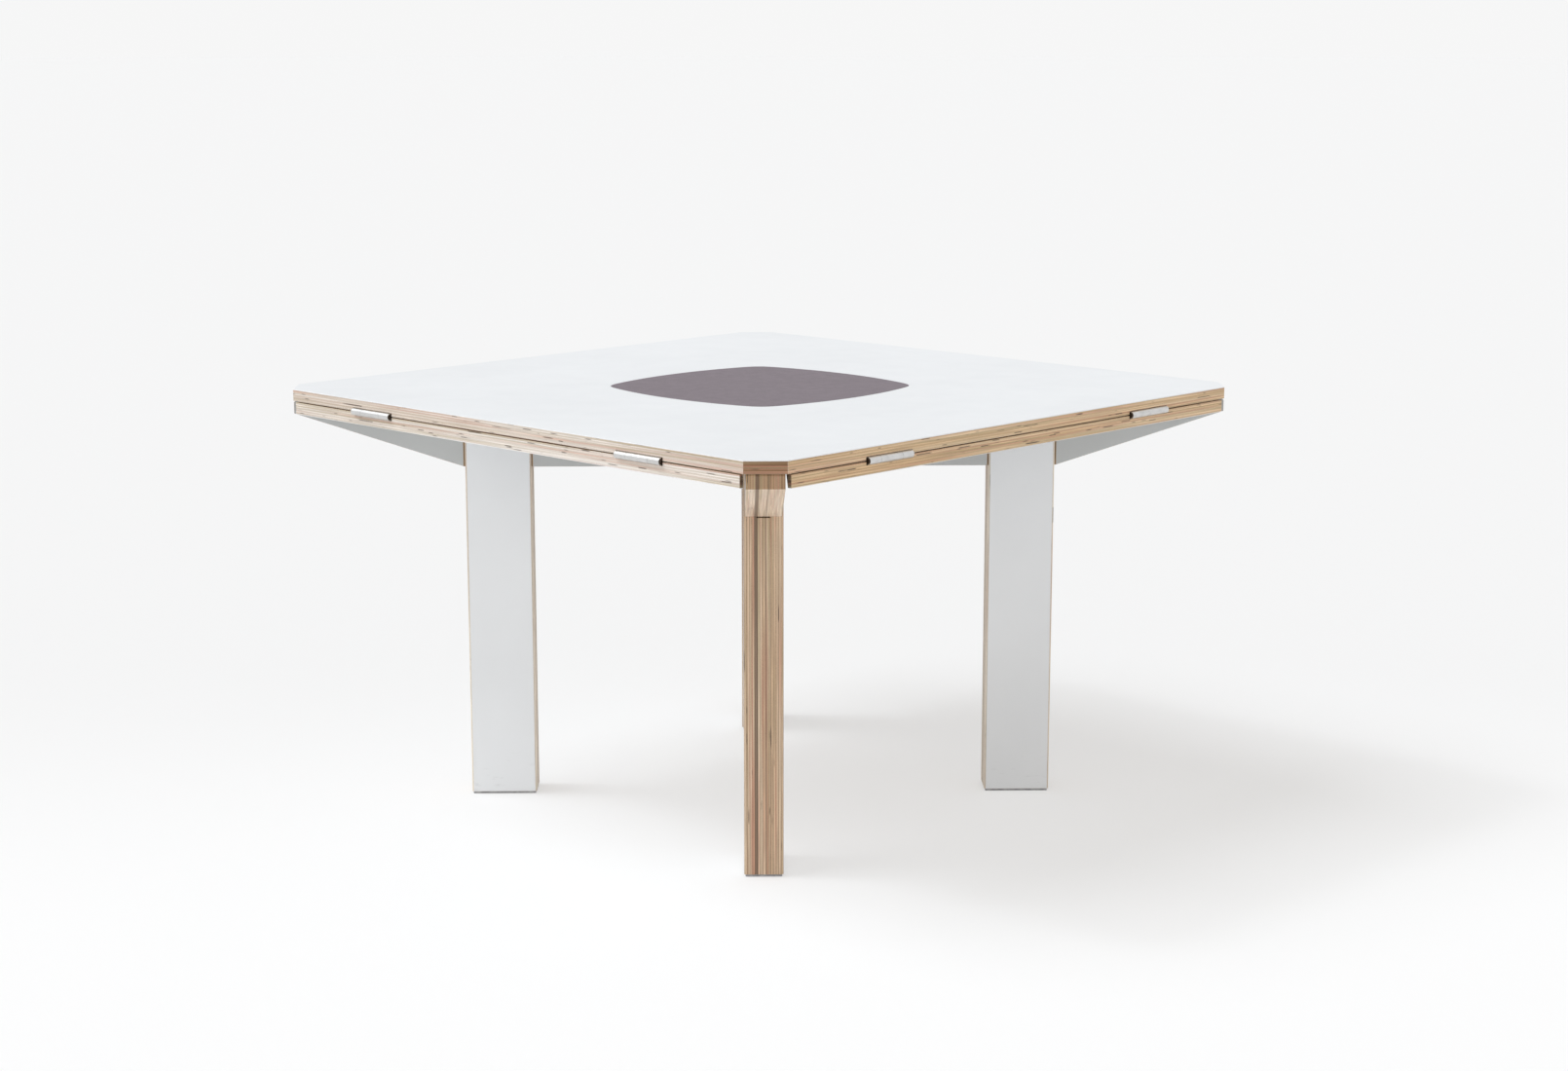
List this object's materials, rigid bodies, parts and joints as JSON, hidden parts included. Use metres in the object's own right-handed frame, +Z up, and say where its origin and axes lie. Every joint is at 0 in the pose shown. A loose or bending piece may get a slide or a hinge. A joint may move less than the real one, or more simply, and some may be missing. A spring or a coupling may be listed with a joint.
{
  "type": "extending table",
  "caption": "Square extending table with a white top, hinged leaves folded under its edges, crossing diagonal rails and board legs.",
  "frame": {"origin": "on the floor under the middle of the table", "axes": "+Z up; X and Y along the edges of the closed top, with the corner nearest the picture's camera at +X, -Y"},
  "size_m": [1.2136, 1.2136, 0.735],
  "materials": {
    "birch_plywood": "sanded and oiled edges",
    "white_laminate": "satin",
    "white_faced_board": "satin laminate face",
    "grey_faced_board": "satin laminate face",
    "dark_inlay": "matt",
    "hinge_steel": "satin",
    "magnet_steel": "nickel",
    "foot_felt": "felt"
  },
  "bodies": {
    "frame": {"top_panel": "birch_plywood", "top_laminate": "white_laminate", "centre_inlay": "dark_inlay", "catch_magnet_front": "magnet_steel", "hinge_front_1_top_plate": "hinge_steel", "hinge_front_1_pin": "hinge_steel", "hinge_front_2_top_plate": "hinge_steel", "hinge_front_2_pin": "hinge_steel", "catch_magnet_right": "magnet_steel", "hinge_right_1_top_plate": "hinge_steel", "hinge_right_1_pin": "hinge_steel", "hinge_right_2_top_plate": "hinge_steel", "hinge_right_2_pin": "hinge_steel", "catch_magnet_back": "magnet_steel", "hinge_back_1_top_plate": "hinge_steel", "hinge_back_1_pin": "hinge_steel", "hinge_back_2_top_plate": "hinge_steel", "hinge_back_2_pin": "hinge_steel", "catch_magnet_left": "magnet_steel", "hinge_left_1_top_plate": "hinge_steel", "hinge_left_1_pin": "hinge_steel", "hinge_left_2_top_plate": "hinge_steel", "hinge_left_2_pin": "hinge_steel", "cross_rail_a": "grey_faced_board", "rail_cheek_a1": "grey_faced_board", "rail_cheek_a2": "grey_faced_board", "cross_rail_b": "grey_faced_board", "rail_cheek_b1": "grey_faced_board", "rail_cheek_b2": "grey_faced_board", "leg_core_front_left": "birch_plywood", "foot_pad_front_left": "foot_felt", "leg_cheek_front_left_1": "white_faced_board", "leg_cheek_front_left_2": "white_faced_board", "leg_core_back_right": "birch_plywood", "foot_pad_back_right": "foot_felt", "leg_cheek_back_right_1": "white_faced_board", "leg_cheek_back_right_2": "white_faced_board", "leg_core_front_right": "birch_plywood", "foot_pad_front_right": "foot_felt", "leg_cheek_front_right_1": "white_faced_board", "leg_cheek_front_right_2": "white_faced_board", "leg_core_back_left": "birch_plywood", "foot_pad_back_left": "foot_felt", "leg_cheek_back_left_1": "white_faced_board", "leg_cheek_back_left_2": "white_faced_board", "pivot_bolt": "hinge_steel", "pivot_washer": "hinge_steel", "pivot_nut": "hinge_steel"},
    "leaf_front": {"leaf_front": "birch_plywood", "hinge_front_1_leaf_plate": "hinge_steel", "hinge_front_2_leaf_plate": "hinge_steel"},
    "leaf_right": {"leaf_right": "birch_plywood", "hinge_right_1_leaf_plate": "hinge_steel", "hinge_right_2_leaf_plate": "hinge_steel"},
    "leaf_back": {"leaf_back": "birch_plywood", "hinge_back_1_leaf_plate": "hinge_steel", "hinge_back_2_leaf_plate": "hinge_steel"},
    "leaf_left": {"leaf_left": "birch_plywood", "hinge_left_1_leaf_plate": "hinge_steel", "hinge_left_2_leaf_plate": "hinge_steel"}
  },
  "joints": [
    {"name": "leaf_front_hinge", "type": "hinge", "parent": "frame", "child": "leaf_front", "pos_m": [0, -0.6008, 0.7134], "axis": [-1, 0, 0], "range_deg": [0, 180]},
    {"name": "leaf_right_hinge", "type": "hinge", "parent": "frame", "child": "leaf_right", "pos_m": [0.6008, 0, 0.7134], "axis": [0, -1, 0], "range_deg": [0, 180]},
    {"name": "leaf_back_hinge", "type": "hinge", "parent": "frame", "child": "leaf_back", "pos_m": [0, 0.6008, 0.7134], "axis": [1, 0, 0], "range_deg": [0, 180]},
    {"name": "leaf_left_hinge", "type": "hinge", "parent": "frame", "child": "leaf_left", "pos_m": [-0.6008, 0, 0.7134], "axis": [0, 1, 0], "range_deg": [0, 180]}
  ]
}
